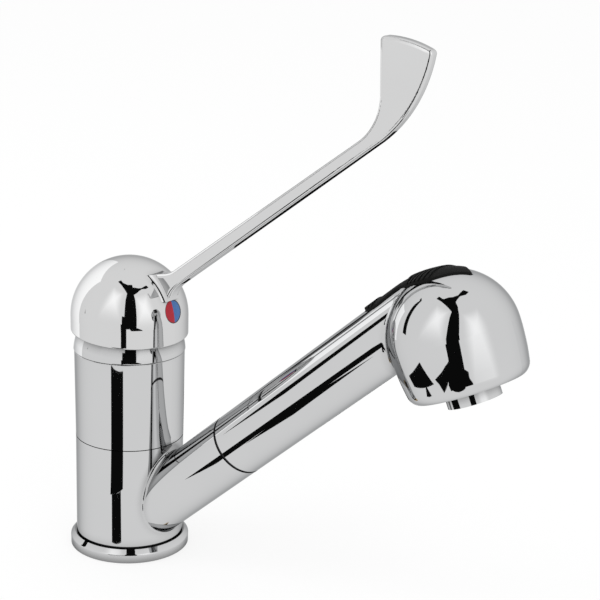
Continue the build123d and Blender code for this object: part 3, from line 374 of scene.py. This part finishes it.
world = bpy.data.worlds.new("studio")
bpy.context.scene.world = world
world.use_nodes = True
sky_nodes, sky_links = world.node_tree.nodes, world.node_tree.links
sky_level = sky_nodes.new("ShaderNodeMapRange")
sky_level.inputs["To Min"].default_value = sky_light
sky_level.inputs["To Max"].default_value = sky_seen
sky_links.new(light_paths(sky_nodes, sky_links), sky_level.inputs["Value"])
sky = sky_nodes["Background"]
sky.inputs["Color"].default_value = (1, 1, 1, 1)
sky_links.new(sky_level.outputs[0], sky.inputs["Strength"])


def glow_material(name, middle, edge):
    """A glow that goes from one level at the edge to another in the middle, by the mesh's fade values."""
    material = bpy.data.materials.new(name)
    material.use_nodes = True
    nodes, links = material.node_tree.nodes, material.node_tree.links
    nodes.remove(nodes["Principled BSDF"])
    fade = nodes.new("ShaderNodeAttribute")
    fade.attribute_name = "fade"
    level = nodes.new("ShaderNodeMapRange")
    level.inputs["To Min"].default_value = edge
    level.inputs["To Max"].default_value = middle
    links.new(fade.outputs["Fac"], level.inputs["Value"])
    glow = nodes.new("ShaderNodeEmission")
    glow.inputs["Color"].default_value = (1, 1, 1, 1)
    links.new(level.outputs[0], glow.inputs["Strength"])
    links.new(glow.outputs[0], nodes["Material Output"].inputs["Surface"])
    return material


black_card = glow_material("black_card", 0.005, 0.005)
grey_card = glow_material("grey_card", 0.18, 0.18)
sky_card = glow_material("sky_card", sky_seen, sky_seen)
white_card = glow_material("white_card", 1.5, 1.5)


def stage_object(name, mesh, material):
    """Adds a stage object made from this mesh; the camera and the soft light pass through it."""
    data = bpy.data.meshes.new(name)
    mesh.to_mesh(data)
    mesh.free()
    data.materials.append(material)
    card = bpy.data.objects.new(name, data)
    bpy.context.scene.collection.objects.link(card)
    card.visible_camera = False
    card.visible_diffuse = False
    card.visible_shadow = False


def strip(name, pairs, material=black_card):
    """Adds a card made of four-sided fields between pairs of points."""
    mesh = bmesh.new()
    rows = [[mesh.verts.new(point) for point in pair] for pair in pairs]
    for near, far in zip(rows, rows[1:]):
        mesh.faces.new((near[0], far[0], far[1], near[1]))
    stage_object(name, mesh, material)


def level_card(name, height, pairs):
    """Adds a black card that lies level at this height, between pairs of places given by X and Y."""
    strip(name, [[(*place, height) for place in pair] for pair in pairs])


def around(spot, azimuth, distance, height):
    """The point at this azimuth (from -Y towards +X), distance and height about a spot."""
    angle = math.radians(azimuth)
    return (spot[0] + distance * math.sin(angle), spot[1] - distance * math.cos(angle), height)


# Black cards on the ground or near it: they give the stripe down the body and the head's dark foot
body_spot = (0.016, -0.02)
ground = 0.015
camera_side = 24
level_card("ground_gap_near", ground, [
    ((0.008, -0.065), (0.036, -0.065)), ((0.018, -0.245), (0.112, -0.207)),
])
level_card("ground_gap_sunk", -0.05, [
    ((0.0139, -0.15), (0.0627, -0.139)), ((0.0165, -0.22), (0.0875, -0.205)),
])
for name, far_side, distances in (("ground_gap", 35, (0.25, 0.505)), ("ground_gap_wide", 53, (0.505, 1.5))):
    strip(name, [
        (around(body_spot, camera_side, distance, ground), around(body_spot, far_side, distance, ground))
        for distance in distances
    ])
level_card("ground_gap_right", 0.05, [
    ((0.262, -0.325), (0.325, -0.33)), ((0.202, -0.208), (0.305, -0.2)),
    ((0.212, -0.15), (0.28, -0.145)), ((0.224, -0.085), (0.246, -0.1)),
])
level_card("ground_behind", ground, [
    ((-0.07, 0.1), (0.03, 0.1)), ((-0.08, 0.25), (0.09, 0.22)), ((-0.09, 0.42), (0.06, 0.42)),
])

# Upright cards: the camera's gap and its foot, two narrow gaps to the left of the tap, and a grey edge
spout_spot = (0.1, 0.0)
head_spot = (0.165, 0.0)
strip("camera_gap", [
    (around(body_spot, 31, 0.59, ground), around(body_spot, 55, 0.43, ground)),
    (around(body_spot, 31, 0.59, 0.68), around(body_spot, 56, 0.43, 0.55)),
    (around(body_spot, 34, 0.57, 1.06), around(body_spot, 53, 0.44, 0.88)),
])
strip("camera_gap_foot", [
    (around(body_spot, azimuth, distance, ground), around(body_spot, azimuth, distance, top))
    for azimuth, distance, top in ((camera_side, 1.0, 0.32), (32, 0.8, 0.26))
])
strip("far_gap", [
    (around(spout_spot, 304, 1.0, 0.09), around(spout_spot, 295, 1.0, 0.09)),
    (around(spout_spot, 289, 1.0, 1.1), around(spout_spot, 281, 1.0, 1.1)),
])
strip("back_gap", [
    (around(head_spot, 246.5, 1.0, 0.1), around(head_spot, 241, 1.0, 0.1)),
    (around(head_spot, 246, 1.0, 2.1), around(head_spot, 241.5, 1.0, 2.1)),
])
strip("far_edge", [
    (around(spout_spot, 238, 1.5, 0.22), around(spout_spot, 238, 1.5, 0.4)),
    (around(spout_spot, 264, 1.5, 0.25), around(spout_spot, 264, 1.5, 0.445)),
], grey_card)

# Black cards overhead: the top edge of the tent's opening, before the tap and to its right
cap_spot = (0.017, -0.01)
top_height, side_top_height = 0.82, 0.45
level_card("top_gap", top_height, [
    ((-0.12, -0.22), (-0.088, -0.158)), ((0, -0.27), (0.004, -0.2)), ((0.196, -0.372), (0.11, -0.19)),
    ((0.316, -0.442), (0.14, -0.165)), ((0.408, -0.346), (0.165, -0.14)), ((0.36, -0.26), (0.185, -0.125)),
])
side_top_edges = (
    (48, 0.268, 0.129), (64, 0.225, 0.136), (74, 0.2, 0.155), (88, 0.19, 0.172),
    (100, 0.215, 0.172), (112, 0.222, 0.18),
)
strip("side_top_gap", [
    (around(cap_spot, azimuth, outer, side_top_height), around(cap_spot, azimuth, inner, side_top_height))
    for azimuth, outer, inner in side_top_edges
])

# Upright cards beside the cap and behind the body: each of their edges has its Y or X and its heights
cap_card_x, cap_card_foot = -0.08, 0.075
for name, material, edges in (
    ("cap_side_panel", white_card, ((-0.049, cap_card_foot, 0.215), (0.05, cap_card_foot, 0.215))),
    ("cap_side_sky", sky_card, ((-0.079, cap_card_foot, 0.27), (-0.049, cap_card_foot, 0.27))),
    ("cap_top_sky", sky_card, ((-0.079, 0.27, 0.36), (-0.049, 0.215, 0.36), (0.05, 0.215, 0.36))),
):
    strip(name, [((cap_card_x, y, low), (cap_card_x, y, high)) for y, low, high in edges], material)
strip("body_back_sky", [((x, 0.08, -0.03), (x, 0.08, 0.102)) for x in (-0.01, 0.06)], sky_card)


def soft_panel(name, spot, distance, azimuths, heights, middle, margin):
    """Adds a curved panel about a spot, brightest in its middle and fading out to the sky's white."""
    mesh = bmesh.new()
    bmesh.ops.create_grid(mesh, x_segments=24, y_segments=24, size=1)
    fade = mesh.verts.layers.float.new("fade")
    for vertex in mesh.verts:
        across, up = (vertex.co.x + 1) / 2, (vertex.co.y + 1) / 2
        inward = min(across, 1 - across, up, 1 - up) / margin
        vertex[fade] = 0.5 - 0.5 * math.cos(math.pi * min(inward, 1))
        azimuth = azimuths[0] + across * (azimuths[1] - azimuths[0])
        vertex.co = around(spot, azimuth, distance, heights[0] + up * (heights[1] - heights[0]))
    stage_object(name, mesh, glow_material(name, middle, sky_seen))


panel_glow = 1.45
panel_margin = 0.5
soft_panel("right_panel", body_spot, 0.9, (50, 96), (-0.2, 1.3), panel_glow, panel_margin)
soft_panel("front_panel", (0.178, 0.0), 0.8, (325, 375), (0.05, 1.5), panel_glow, panel_margin)

floor_size = 6.0
floor_white = 0.96
floor_glow_share = 0.8
floor_mesh = bmesh.new()
bmesh.ops.create_grid(floor_mesh, x_segments=1, y_segments=1, size=floor_size / 2)
floor_data = bpy.data.meshes.new("floor")
floor_mesh.to_mesh(floor_data)
floor_mesh.free()
floor = bpy.data.objects.new("floor", floor_data)
bpy.context.scene.collection.objects.link(floor)
floor.visible_glossy = False
floor_material = bpy.data.materials.new("floor")
floor_material.use_nodes = True
floor_nodes, floor_links = floor_material.node_tree.nodes, floor_material.node_tree.links
floor_paint = floor_nodes["Principled BSDF"]
floor_paint.inputs["Base Color"].default_value = (floor_white, floor_white, floor_white, 1)
floor_paint.inputs["Roughness"].default_value = 0.9
floor_paint.inputs["Specular IOR Level"].default_value = 0
floor_glow = floor_nodes.new("ShaderNodeEmission")
floor_mix = floor_nodes.new("ShaderNodeMixShader")
floor_mix.inputs[0].default_value = floor_glow_share
floor_links.new(floor_paint.outputs[0], floor_mix.inputs[1])
floor_links.new(floor_glow.outputs[0], floor_mix.inputs[2])
floor_links.new(floor_mix.outputs[0], floor_nodes["Material Output"].inputs["Surface"])
floor_data.materials.append(floor_material)

lamp_aim = (0.06, 0, 0.1)
lamp_size = 0.9


def lamp(name, place, power):
    """Adds a square area lamp at a place, turned to the tap."""
    data = bpy.data.lights.new(name, "AREA")
    data.shape = "SQUARE"
    data.size = lamp_size
    data.energy = power
    light = bpy.data.objects.new(name, data)
    light.location = place
    light.rotation_euler = (Vector(lamp_aim) - Vector(place)).to_track_quat("-Z", "Y").to_euler()
    light.visible_glossy = False
    bpy.context.scene.collection.objects.link(light)


lamp("key_lamp", (-0.9, -0.9, 1.3), 6)
lamp("fill_lamp", (1.2, -0.5, 1.1), 3)
